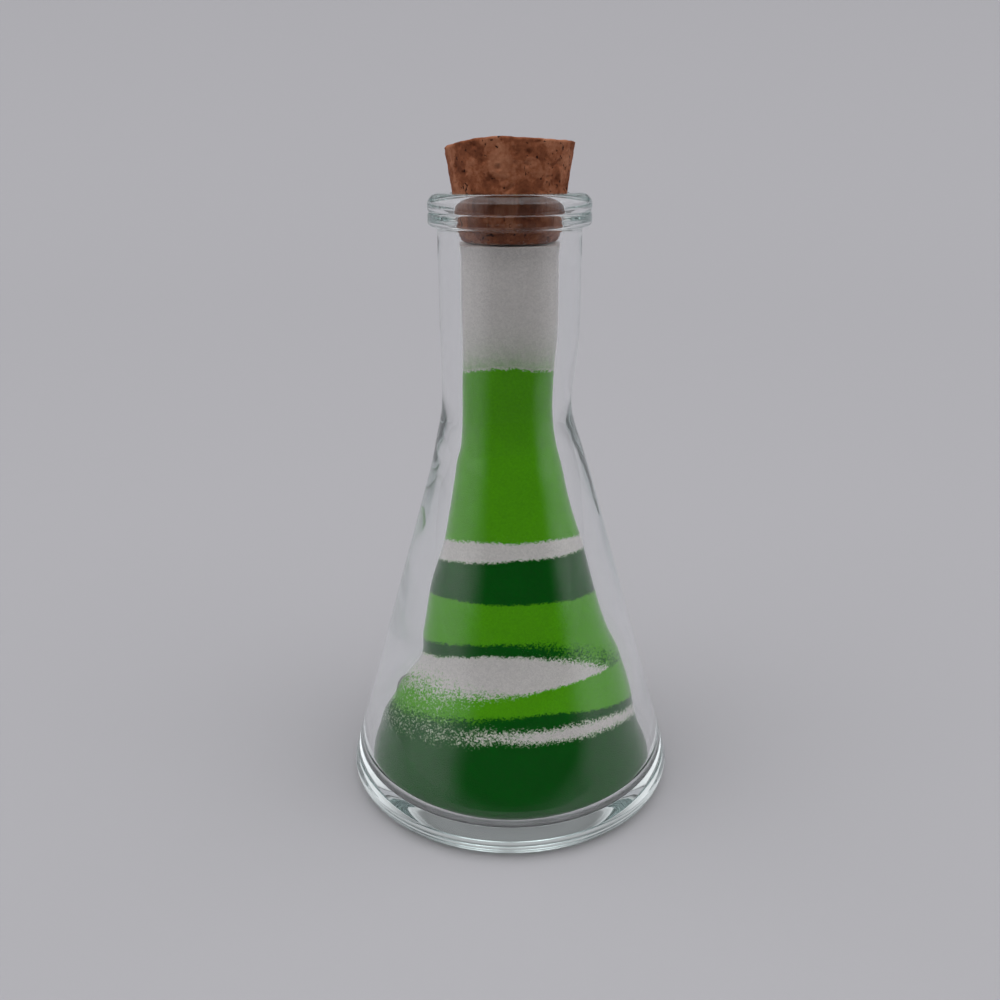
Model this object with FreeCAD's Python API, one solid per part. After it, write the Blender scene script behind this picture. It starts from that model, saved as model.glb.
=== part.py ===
import FreeCAD, Part
import math
import os
from collections import namedtuple

# A small conical bottle of thick clear glass, filled with eleven layers of
# coloured sand and closed with a tapered cork. Millimetres, +Z up. The origin
# is the middle of the foot, on the surface that the bottle stands on, and -Y
# is the front.

Vector = FreeCAD.Vector
UP = Vector(0, 0, 1)

# Flask, outside. The cone runs in a straight line from the heel's rounding to
# the shoulder, dips into the waist and opens again into a straight neck.
BASE_RADIUS = 30.7
HEEL_RADIUS = 3.4
SHOULDER_HEIGHT = 62.8
SHOULDER_RADIUS = 14.0
PINCH_RISE = 3.8
PINCH_RADIUS = 13.0
WAIST_RISE = 10.2
WAIST_RADIUS = 11.5
NECK_RISE = 25.6
NECK_RADIUS = 12.1
NECK_LENGTH = 15.3

# The glass was pushed a little to one side at the waist while it was soft.
WAIST_SHIFT = 0.55
WAIST_SHIFT_REACH = 13.0

# Foot: a flat ring round a hollow that is level at its edge and in its middle.
FOOT_RING_WIDTH = 1.4
PUNT_DEPTH = 0.6

# Rim: two beads with a shallow groove between them, the upper one well rounded.
RIM_RADIUS = 13.67
RIM_HEIGHT = 5.3
RIM_GROOVE_RISE = 2.3
RIM_GROOVE = 0.25
RIM_UNDER_ROUND = 1.1
RIM_TOP_ROUND = 1.9
LIP_ROUND = 0.9

# Walls, measured level. Each station of the cone is a share of the way from the
# cavity's rounded corner to the shoulder, the wall there, and how far the
# cavity's middle has drifted to the right of the glass round it.
Wall = namedtuple("Wall", "share wall drift")
CONE_WALLS = [
    Wall(0.0, 3.6, 0.3),
    Wall(0.135, 3.4, 0.35),
    Wall(0.24, 4.1, 0.6),
    Wall(0.365, 5.3, 1.05),
    Wall(0.47, 5.3, 0.5),
    Wall(0.6, 4.85, 0.15),
    Wall(0.74, 4.65, -0.1),
    Wall(0.85, 4.85, -0.2),
]
WALL_SHOULDER = 4.48
WALL_PINCH = 4.38
WALL_WAIST = 3.55
WALL_ROOT = 3.6
WALL_NECK = 3.72
DRIFT_SHOULDER = -0.3
DRIFT_PINCH = -0.3
DRIFT_WAIST = -0.1
FLOOR_HEIGHT = 2.4
FLOOR_DOME = 0.8
FLOOR_CORNER = 4.0

# Cork, and how it sits in the mouth.
CORK_LENGTH = 15.6
CORK_TOP_RADIUS = 10.5
CORK_BOTTOM_RADIUS = 8.63
CORK_SINK = 7.0
CORK_EDGE = 0.35
CORK_WORN_EDGE = 0.9
CORK_CLEARANCE = 0.1
SEAT_RUNOUT = 1.0
SEAT_BLEND = 2.5

# Sand. The gap keeps the grains off the glass.
SAND_GAP = 0.1
SAND_TO_CORK = 0.3

# Where each layer of sand ends: the height of its upper border at the glass, at
# the front, right, back and left of the bottle. The twist lifts the border's
# front left and back right and lowers the two places between them.
Border = namedtuple("Border", "layer front right back left twist")
BORDERS = [
    Border("sand_base_dark_green", 17.5, 15.2, 14.2, 13.4, 0.3),
    Border("sand_line_white", 19.2, 16.2, 16.4, 15.2, -0.4),
    Border("sand_thin_dark_green", 22.6, 17.7, 19.4, 18.2, -0.7),
    Border("sand_lime_lower", 26.2, 25.6, 25.8, 24.4, -0.9),
    Border("sand_lens_white", 32.6, 21.5, 27.5, 29.0, -1.8),
    Border("sand_seam_dark_green", 34.7, 23.5, 29.4, 31.6, -1.9),
    Border("sand_lime_middle", 41.3, 40.0, 39.6, 38.9, 0.2),
    Border("sand_band_dark_green", 48.6, 47.9, 46.6, 45.5, 0.2),
    Border("sand_band_white", 51.6, 50.5, 49.6, 48.6, 0.2),
    Border("sand_lime_tall", 81.5, 79.5, 79.4, 79.5, 0.0),
]
TOP_LAYER = "sand_neck_white"

# Heights that follow from the sizes above.
WAIST_HEIGHT = SHOULDER_HEIGHT + WAIST_RISE
CONE_END = WAIST_HEIGHT - WAIST_SHIFT_REACH
NECK_HEIGHT = SHOULDER_HEIGHT + NECK_RISE
RIM_BASE = NECK_HEIGHT + NECK_LENGTH
TOP = RIM_BASE + RIM_HEIGHT
CORK_BOTTOM = TOP - CORK_SINK
BORE_TOP = CORK_BOTTOM - SEAT_RUNOUT - SEAT_BLEND
BORE_RADIUS = NECK_RADIUS - WALL_NECK
FOOT_RADIUS = BASE_RADIUS - HEEL_RADIUS

# A ring is one level section of the wall. The shift moves its centre to the right.
Ring = namedtuple("Ring", "height radius shift")


def point(radius, height):
    """A point of an outline, in the plane that is turned about the axis."""
    return Vector(radius, 0, height)


def line(start, end):
    """A straight edge between two (radius, height) pairs."""
    return Part.LineSegment(point(*start), point(*end)).toShape()


def arc(start, middle, end):
    """A round edge through three (radius, height) pairs."""
    return Part.Arc(point(*start), point(*middle), point(*end)).toShape()


def quarter(centre, radius, start_deg, end_deg):
    """A round edge about a (radius, height) centre, between two angles."""
    angles = (start_deg, (start_deg + end_deg) / 2, end_deg)
    places = [(centre[0] + radius * math.cos(math.radians(a)),
               centre[1] + radius * math.sin(math.radians(a))) for a in angles]
    return arc(*places)


def dome(radius, edge_height, rise):
    """A shallow round edge from the axis out to the given radius."""
    sphere = (radius ** 2 + rise ** 2) / (2 * rise)
    half_way = radius / 2
    drop = sphere - math.sqrt(sphere ** 2 - half_way ** 2)
    return arc((0, edge_height + rise), (half_way, edge_height + rise - drop), (radius, edge_height))


def turned(edges):
    """The solid made by turning a closed outline about the bottle's axis."""
    face = Part.Face(Part.Wire(edges))
    solid = face.revolve(Vector(0, 0, 0), UP, 360)
    return solid if solid.Volume > 0 else solid.reversed()


def heel_tangent():
    """Where the heel's rounding meets the straight cone, and at what angle."""
    across = SHOULDER_RADIUS - FOOT_RADIUS
    up = SHOULDER_HEIGHT - HEEL_RADIUS
    lean = math.atan2(up, across) - math.acos(HEEL_RADIUS / math.hypot(across, up))
    radius = FOOT_RADIUS + HEEL_RADIUS * math.cos(lean)
    height = HEEL_RADIUS * (1 + math.sin(lean))
    return radius, height, lean


HEEL_TOP_RADIUS, HEEL_TOP, CONE_LEAN = heel_tangent()


def cone_radius(height):
    """Outer radius of the straight cone at a height."""
    return HEEL_TOP_RADIUS - (height - HEEL_TOP) * math.tan(CONE_LEAN)


def cone_height(share):
    """Height at a share of the way from the cavity's corner to the shoulder."""
    low = FLOOR_HEIGHT + FLOOR_CORNER
    return low + share * (SHOULDER_HEIGHT - low)


def sway(height):
    """How far the wall's centre lies to the right at a height."""
    reach = (height - WAIST_HEIGHT) / WAIST_SHIFT_REACH
    if abs(reach) >= 1:
        return 0.0
    return -WAIST_SHIFT * math.cos(reach * math.pi / 2) ** 2


def neck_sizes():
    """Height, outer radius, wall and drift of the rings from the shoulder to the neck."""
    pinch_height = SHOULDER_HEIGHT + PINCH_RISE
    root_height = (WAIST_HEIGHT + NECK_HEIGHT) / 2
    root_radius = (WAIST_RADIUS + NECK_RADIUS) / 2
    return [
        (SHOULDER_HEIGHT, SHOULDER_RADIUS, WALL_SHOULDER, DRIFT_SHOULDER),
        (pinch_height, PINCH_RADIUS, WALL_PINCH, DRIFT_PINCH),
        (WAIST_HEIGHT, WAIST_RADIUS, WALL_WAIST, DRIFT_WAIST),
        (root_height, root_radius, WALL_ROOT, 0.0),
        (NECK_HEIGHT, NECK_RADIUS, WALL_NECK, 0.0),
    ]


def outer_rings():
    """The rings of the outer wall, from the end of the straight cone to the neck."""
    first = Ring(CONE_END, cone_radius(CONE_END), 0.0)
    return [first] + [Ring(height, radius, sway(height)) for height, radius, _, _ in neck_sizes()]


def inner_rings(gap):
    """The rings of the inside, from the floor's rounded corner to the neck."""
    cone = [(cone_height(share), cone_radius(cone_height(share)), wall, drift)
            for share, wall, drift in CONE_WALLS]
    return [Ring(height, radius - wall - gap, sway(height) + drift)
            for height, radius, wall, drift in cone + neck_sizes()]


def skin(rings, start_lean):
    """A smooth closed wall through level rings, capped flat at both ends.

    Every level section of it is a true circle. It starts at a lean, in radius
    gained for each unit of height, and ends upright.
    """
    spots = [Vector(ring.shift, ring.radius, ring.height) for ring in rings]
    runs = [after - before for before, after in zip(spots, spots[2:])]
    spine = Part.BSplineCurve()
    spine.interpolate(Points=spots, Tangents=[Vector(0, start_lean, 1)] + runs + [UP],
                      TangentFlags=[True] * len(spots))
    rows = spine.getPoles()
    poles = []
    weights = []
    for step in range(9):
        corner = step % 2
        reach = math.sqrt(2) if corner else 1.0
        right = reach * math.cos(step * math.pi / 4)
        back = reach * math.sin(step * math.pi / 4)
        poles.append([Vector(row.x + row.y * right, row.y * back, row.z) for row in rows])
        weights.append([math.sqrt(0.5) if corner else 1.0] * len(rows))
    wall = Part.BSplineSurface()
    wall.buildFromPolesMultsKnots(poles, [3, 2, 2, 2, 3], spine.getMultiplicities(),
                                  [0, 1, 2, 3, 4], spine.getKnots(), False, False, 2,
                                  spine.Degree, weights)
    ends = [Part.Circle(Vector(spot.x, 0, spot.z), UP, spot.y) for spot in (spots[0], spots[-1])]
    caps = [Part.Face(Part.Wire([end.toShape()])) for end in ends]
    shell = Part.makeShell([wall.toShape()] + caps)
    shell.sewShape()
    solid = Part.makeSolid(shell)
    return solid if solid.Volume > 0 else solid.reversed()


def hollow(radius, rise):
    """The foot's hollow in two round edges, from the axis out to its edge."""
    middle = (radius / 2, rise / 2)
    bend = rise * math.sin(math.pi / 8) ** 2
    return [arc((0, rise), (radius / 4, rise - bend), middle),
            arc(middle, (radius * 3 / 4, bend), (radius, 0))]


def foot_and_cone():
    """The flask's underside and straight cone, solid."""
    ring_inside = FOOT_RADIUS - FOOT_RING_WIDTH
    return turned(hollow(ring_inside, PUNT_DEPTH) + [
        line((ring_inside, 0), (FOOT_RADIUS, 0)),
        quarter((FOOT_RADIUS, HEEL_RADIUS), HEEL_RADIUS, -90, math.degrees(CONE_LEAN)),
        line((HEEL_TOP_RADIUS, HEEL_TOP), (cone_radius(CONE_END), CONE_END)),
        line((cone_radius(CONE_END), CONE_END), (0, CONE_END)),
        line((0, CONE_END), (0, PUNT_DEPTH)),
    ])


def rim():
    """The two beads round the mouth, solid."""
    under = (RIM_RADIUS - RIM_UNDER_ROUND, RIM_BASE)
    groove = (RIM_RADIUS - RIM_GROOVE, RIM_BASE + RIM_GROOVE_RISE)
    round_start = (RIM_RADIUS, TOP - RIM_TOP_ROUND)
    swell = (RIM_RADIUS - RIM_GROOVE / 4, (groove[1] + round_start[1]) / 2)
    crest = (RIM_RADIUS - RIM_TOP_ROUND, TOP)
    return turned([
        line((0, RIM_BASE), under),
        arc(under, (RIM_RADIUS, RIM_BASE + RIM_GROOVE_RISE / 2), groove),
        arc(groove, swell, round_start),
        quarter((crest[0], round_start[1]), RIM_TOP_ROUND, 0, 90),
        line(crest, (0, TOP)),
        line((0, TOP), (0, RIM_BASE)),
    ])


def neck():
    """The straight neck below the rim, solid."""
    return Part.makeCylinder(NECK_RADIUS, NECK_LENGTH, Vector(0, 0, NECK_HEIGHT))


def flask_outside():
    """The whole flask as if it were solid glass."""
    waist = skin(outer_rings(), -math.tan(CONE_LEAN))
    return foot_and_cone().fuse([waist, neck(), rim()]).removeSplitter()


def seat_radius(height):
    """Radius of the mouth's taper, which follows the cork with its clearance."""
    taper = (CORK_TOP_RADIUS - CORK_BOTTOM_RADIUS) / CORK_LENGTH
    return CORK_BOTTOM_RADIUS + taper * (height - CORK_BOTTOM) + CORK_CLEARANCE


def cavity(gap):
    """The flask's inside, drawn in from the glass by a gap."""
    floor = FLOOR_HEIGHT + gap
    corner_top = FLOOR_HEIGHT + FLOOR_CORNER
    inner = inner_rings(gap)
    corner = FLOOR_CORNER - gap
    bottom_radius = inner[0].radius
    corner_centre = (bottom_radius - corner, corner_top)
    well = turned([
        dome(corner_centre[0], floor, FLOOR_DOME),
        quarter(corner_centre, corner, -90, 0),
        line((bottom_radius, corner_top), (0, corner_top)),
        line((0, corner_top), (0, floor + FLOOR_DOME)),
    ])
    well.translate(Vector(inner[0].shift, 0, 0))
    bore = Part.makeCylinder(BORE_RADIUS - gap, BORE_TOP - NECK_HEIGHT, Vector(0, 0, NECK_HEIGHT))
    return well.fuse([skin(inner, -math.tan(CONE_LEAN)), bore, mouth(gap)]).removeSplitter()


def mouth(gap):
    """The tapered seat of the cork and the rounded lip over it."""
    seat_bottom = BORE_TOP + SEAT_BLEND
    lip_start = TOP - LIP_ROUND
    lip_radius = seat_radius(lip_start) - gap
    lip_centre = (lip_radius + LIP_ROUND, lip_start)
    return turned([
        line((0, BORE_TOP), (BORE_RADIUS - gap, BORE_TOP)),
        line((BORE_RADIUS - gap, BORE_TOP), (seat_radius(seat_bottom) - gap, seat_bottom)),
        line((seat_radius(seat_bottom) - gap, seat_bottom), (lip_radius, lip_start)),
        quarter(lip_centre, LIP_ROUND, 180, 90),
        line((lip_radius + LIP_ROUND, TOP), (0, TOP)),
        line((0, TOP), (0, BORE_TOP)),
    ])


def glass_flask():
    """The glass: the outside less the inside."""
    return flask_outside().cut(cavity(0))


def cork_stopper():
    """The tapered cork, with a crisp top edge and a worn lower one."""
    top = CORK_BOTTOM + CORK_LENGTH
    taper = (CORK_TOP_RADIUS - CORK_BOTTOM_RADIUS) / CORK_LENGTH
    side_start = CORK_BOTTOM_RADIUS + taper * CORK_WORN_EDGE
    bottom_edge = CORK_BOTTOM_RADIUS - CORK_WORN_EDGE
    bend = CORK_WORN_EDGE * math.sqrt(0.5)
    return turned([
        line((0, CORK_BOTTOM), (bottom_edge, CORK_BOTTOM)),
        arc((bottom_edge, CORK_BOTTOM), (bottom_edge + bend, CORK_BOTTOM + CORK_WORN_EDGE - bend),
            (side_start, CORK_BOTTOM + CORK_WORN_EDGE)),
        line((side_start, CORK_BOTTOM + CORK_WORN_EDGE), (CORK_TOP_RADIUS, top - CORK_EDGE)),
        line((CORK_TOP_RADIUS, top - CORK_EDGE), (CORK_TOP_RADIUS - CORK_EDGE, top)),
        line((CORK_TOP_RADIUS - CORK_EDGE, top), (0, top)),
        line((0, top), (0, CORK_BOTTOM)),
    ])


def sand_radius(height):
    """Radius of the sand at a height, between the rings beside it."""
    rings = inner_rings(SAND_GAP)
    for below, above in zip(rings, rings[1:]):
        if height <= above.height:
            share = max(0.0, (height - below.height) / (above.height - below.height))
            return below.radius + share * (above.radius - below.radius)
    return BORE_RADIUS - SAND_GAP


def border_height(border, x, y):
    """Height of a layer's upper border at a place given in sand radii."""
    level = (border.front + border.right + border.back + border.left) / 4
    rightward = (border.right - border.left) / 2
    backward = (border.back - border.front) / 2
    saddle = (border.right + border.left - border.front - border.back) / 4
    return (level + rightward * x + backward * y + saddle * (x * x - y * y)
            + 2 * border.twist * x * y)


def above_border(border, ceiling):
    """Everything above a layer's upper border, up to a ceiling."""
    radius = sand_radius(border_height(border, 0, 0))
    shares = [-1.5, -0.75, 0, 0.75, 1.5]
    grid = [[Vector(radius * x, radius * y, border_height(border, x, y)) for y in shares]
            for x in shares]
    sheet = Part.BSplineSurface()
    sheet.interpolate(grid)
    return sheet.toShape().extrude(Vector(0, 0, ceiling))


def sand_layers():
    """The batches of sand from the floor up, as (name, solid) pairs.

    Two borders may cross, and the layer between them then runs out to a
    feather edge, as the white lens and the seam over it do on the right.
    """
    level = CORK_BOTTOM - SAND_TO_CORK
    over = Part.makeCylinder(BASE_RADIUS, TOP, Vector(0, 0, level))
    rest = cavity(SAND_GAP).cut(over)
    layers = []
    for border in BORDERS:
        above = above_border(border, TOP)
        layers.append((border.layer, rest.cut(above)))
        rest = rest.common(above)
    layers.append((TOP_LAYER, rest))
    return layers


def export(name, shape):
    """Write one node's solids to its own file, after a check on each."""
    for solid in shape.Solids:
        if not solid.isValid():
            raise ValueError(name + " is not a valid solid")
    whole = shape.Solids[0] if len(shape.Solids) == 1 else Part.makeCompound(shape.Solids)
    whole.exportStep(os.path.join("parts", name + ".step"))
    print(name, len(shape.Solids), "solid,", round(whole.Volume / 1000, 2), "cm3")


def main():
    """Build every piece and write it."""
    os.makedirs("parts", exist_ok=True)
    export("glass_flask", glass_flask())
    export("cork_stopper", cork_stopper())
    for name, shape in sand_layers():
        export(name, shape)


main()
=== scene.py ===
"""Looks of a small corked bottle of thick glass, filled with layered sand.

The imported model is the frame. Each class below is one sub-assembly of the bottle
or of the studio around it, or one finish. Sizes in them are millimetres unless a
class or a name says otherwise, and meshes are written in metres.
"""

import logging
import math
from collections.abc import Callable
from dataclasses import dataclass, field
from enum import Enum

import bpy
from mathutils import Matrix, Vector, noise


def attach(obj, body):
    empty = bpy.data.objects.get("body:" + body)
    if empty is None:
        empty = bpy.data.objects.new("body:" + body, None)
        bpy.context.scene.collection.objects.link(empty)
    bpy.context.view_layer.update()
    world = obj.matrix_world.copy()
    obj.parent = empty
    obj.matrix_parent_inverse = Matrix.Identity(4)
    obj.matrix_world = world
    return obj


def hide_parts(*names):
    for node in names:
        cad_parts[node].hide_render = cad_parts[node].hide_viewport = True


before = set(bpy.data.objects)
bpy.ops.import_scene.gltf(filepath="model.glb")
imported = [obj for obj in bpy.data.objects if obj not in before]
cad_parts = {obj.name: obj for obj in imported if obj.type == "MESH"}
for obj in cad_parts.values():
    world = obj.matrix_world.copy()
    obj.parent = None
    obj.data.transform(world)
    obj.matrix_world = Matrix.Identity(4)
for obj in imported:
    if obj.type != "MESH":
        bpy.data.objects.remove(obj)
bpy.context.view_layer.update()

MM = 0.001
log = logging.getLogger("bottle")

Colour = tuple[float, float, float]
Point = tuple[float, float, float]
OutlinePoint = tuple[float, float]
Stretch = tuple[float, float]
Cloud = tuple[float, float, float]
Socket = bpy.types.NodeSocket


class Tone(Enum):
    """The three dyes of the sand, as linear colours."""

    DARK_GREEN = (0.0015, 0.125, 0.006)
    LIME = (0.125, 0.52, 0.006)
    WHITE = (0.92, 0.875, 0.85)


class Part(Enum):
    """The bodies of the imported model."""

    BOTTLE = "bottle"
    STOPPER = "stopper"


# Node helpers


class Wiring:
    """A node tree with short calls to add nodes and join them."""

    def __init__(self, tree: bpy.types.NodeTree) -> None:
        """Take hold of a tree and empty it.

        Args:
            tree: the material's or the world's node tree.
        """
        self.tree = tree
        tree.nodes.clear()

    def add(self, kind: str, **settings: object) -> bpy.types.Node:
        """Add a node.

        Args:
            kind: the node's type name.
            settings: properties of the node, such as operation="ADD".

        Returns:
            The new node.
        """
        node = self.tree.nodes.new(kind)
        for name, value in settings.items():
            setattr(node, name, value)
        return node

    def feed(self, node: bpy.types.Node, socket: str | int, value: object) -> None:
        """Give an input a constant, or join another node's output to it.

        Args:
            node: the node that is fed.
            socket: the input's name or place.
            value: a number, a colour, a vector or an output socket.
        """
        target = node.inputs[socket]
        if isinstance(value, Socket):
            self.tree.links.new(value, target)
        else:
            target.default_value = value

    def math(self, operation: str, *values: object) -> Socket:
        """Work out one number.

        Args:
            operation: the sum to do, such as "MULTIPLY".
            values: numbers or sockets.

        Returns:
            The output socket.
        """
        node = self.add("ShaderNodeMath", operation=operation)
        for place, value in enumerate(values):
            self.feed(node, place, value)
        return node.outputs[0]

    def weigh(self, *terms: tuple[Socket, float]) -> Socket:
        """Add numbers up, each times its weight.

        Args:
            terms: pairs of a number's socket and its weight.

        Returns:
            The total's socket.
        """
        total, *others = [self.math("MULTIPLY", value, weight) for value, weight in terms]
        for other in others:
            total = self.math("ADD", total, other)
        return total

    def between(self, share: object, low: object, high: object) -> Socket:
        """Mix two numbers.

        Args:
            share: how much of the second number, 0 to 1.
            low: the first number or a socket.
            high: the second number or a socket.

        Returns:
            The mixed number's socket.
        """
        node = self.add("ShaderNodeMix", data_type="FLOAT")
        for place, value in ((0, share), (2, low), (3, high)):
            self.feed(node, place, value)
        return node.outputs[0]

    def blend(self, share: object, low: object, high: object) -> Socket:
        """Mix two colours.

        Args:
            share: how much of the second colour, 0 to 1.
            low: the first colour or a socket.
            high: the second colour or a socket.

        Returns:
            The mixed colour's socket.
        """
        node = self.add("ShaderNodeMix", data_type="RGBA")
        self.feed(node, 0, share)
        for place, value in ((6, low), (7, high)):
            self.feed(node, place, (*value, 1.0) if isinstance(value, tuple) else value)
        return node.outputs[2]

    def ramp(self, value: object, start: float, end: float, low: float, high: float,
             curve: str = "SMOOTHSTEP") -> Socket:
        """Map a number from one stretch to another, held level outside it.

        Args:
            value: the number's socket.
            start: where the change begins.
            end: where it ends.
            low: the result up to the start.
            high: the result from the end on.
            curve: how it changes between them.

        Returns:
            The output socket.
        """
        node = self.add("ShaderNodeMapRange", interpolation_type=curve)
        for place, number in enumerate((value, start, end, low, high)):
            self.feed(node, place, number)
        return node.outputs[0]

    def place(self) -> Socket:
        """Object coordinates, in metres."""
        return self.add("ShaderNodeTexCoord").outputs["Object"]


def new_material(name: str) -> tuple[bpy.types.Material, Wiring, bpy.types.Node]:
    """Start a material with one surface shader.

    Args:
        name: the material's name.

    Returns:
        The material, its wiring and the surface shader's node.
    """
    material = bpy.data.materials.new(name)
    material.use_nodes = True
    wires = Wiring(material.node_tree)
    shader = wires.add("ShaderNodeBsdfPrincipled")
    output = wires.add("ShaderNodeOutputMaterial")
    wires.feed(output, "Surface", shader.outputs[0])
    return material, wires, shader


# Finishes


@dataclass(frozen=True)
class GlassFinish:
    """Clear moulded glass with a faint green-blue tint in its depth."""

    ior: float = 1.5
    depth_tint: Colour = (0.74, 0.93, 0.91)
    depth_density: float = 5.0

    def material(self) -> bpy.types.Material:
        """Make the glass.

        Returns:
            The material, which refracts at its surface and absorbs in its depth.
        """
        material, wires, shader = new_material("clear_glass")
        wires.feed(shader, "Base Color", (1.0, 1.0, 1.0, 1.0))
        wires.feed(shader, "Roughness", 0.0)
        wires.feed(shader, "IOR", self.ior)
        wires.feed(shader, "Transmission Weight", 1.0)
        depth = wires.add("ShaderNodeVolumeAbsorption")
        wires.feed(depth, "Color", (*self.depth_tint, 1.0))
        wires.feed(depth, "Density", self.depth_density)
        output = next(node for node in wires.tree.nodes if node.type == "OUTPUT_MATERIAL")
        wires.feed(output, "Volume", depth.outputs[0])
        return material


@dataclass(frozen=True)
class SandFinish:
    """Dyed sand, mixed grain by grain in the shares that the layer's mesh gives.

    Each grain draws a number, partly its own and partly its clump's. It takes the
    first dye, in the order dark green, lime, white, whose share added to those before
    it is above that number. Softness is how gently one dye gives way to the next.
    """

    grain: float = 0.24
    clump: float = 0.8
    clump_detail: float = 1.0
    clump_stretch: Stretch = (0.28, 0.72)
    clump_share: float = 0.2
    softness: float = 0.4
    haze_stretch: Stretch = (0.4, 0.7)
    shade_spread: float = 0.14
    relief: float = 0.15
    relief_depth: float = 0.15
    roughness: float = 1.0

    def material(self, name: str) -> bpy.types.Material:
        """Make the sand.

        Args:
            name: the material's name.

        Returns:
            The material, which reads the layer's mixing attributes.
        """
        material, wires, shader = new_material(name)
        cells = wires.add("ShaderNodeTexVoronoi")
        wires.feed(cells, "Vector", wires.place())
        wires.feed(cells, "Scale", 1 / (self.grain * MM))
        chance = wires.add("ShaderNodeSeparateColor")
        wires.feed(chance, 0, cells.outputs["Color"])
        clump = wires.add("ShaderNodeTexNoise")
        wires.feed(clump, "Vector", wires.place())
        wires.feed(clump, "Scale", 1 / (self.clump * MM))
        wires.feed(clump, "Detail", self.clump_detail)
        spread = wires.ramp(clump.outputs["Fac"], *self.clump_stretch, 0.0, 1.0, "LINEAR")
        pick = wires.between(self.clump_share, chance.outputs[0], spread)
        shade = chance.outputs[1]

        def share(attribute: str) -> Socket:
            """A share that the mesh holds at its points."""
            return wires.add("ShaderNodeAttribute", attribute_name=attribute).outputs["Fac"]

        def passes(limit: Socket) -> Socket:
            """How far a grain's number has passed a limit.

            Args:
                limit: the share that is compared with the number.

            Returns:
                The socket of a number from 0 to 1.
            """
            stretched = wires.math("MULTIPLY_ADD", limit, 1 + 2 * self.softness, -self.softness)
            past = wires.math("SUBTRACT", pick, stretched)
            return wires.ramp(past, -self.softness, self.softness, 0.0, 1.0)

        dark, lime = share("dark_share"), share("lime_share")
        colour = wires.blend(passes(dark), Tone.DARK_GREEN.value, Tone.LIME.value)
        colour = wires.blend(passes(wires.math("ADD", dark, lime)), colour, Tone.WHITE.value)
        patchy = wires.ramp(spread, 0.0, 1.0, *self.haze_stretch, "LINEAR")
        haze = wires.math("MULTIPLY", share("lime_haze"), patchy)
        colour = wires.blend(haze, colour, Tone.LIME.value)
        darker = wires.math("MULTIPLY", wires.math("SUBTRACT", shade, 0.5), self.shade_spread)
        tone = wires.add("ShaderNodeHueSaturation")
        wires.feed(tone, "Value", wires.math("ADD", 1.0, darker))
        wires.feed(tone, "Color", colour)
        wires.feed(shader, "Base Color", tone.outputs[0])
        wires.feed(shader, "Roughness", self.roughness)
        wires.feed(shader, "Specular IOR Level", 0.0)
        bump = wires.add("ShaderNodeBump", invert=True)
        wires.feed(bump, "Strength", self.relief)
        wires.feed(bump, "Distance", self.relief_depth * MM)
        wires.feed(bump, "Height", cells.outputs["Distance"])
        wires.feed(shader, "Normal", bump.outputs[0])
        return material


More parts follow.
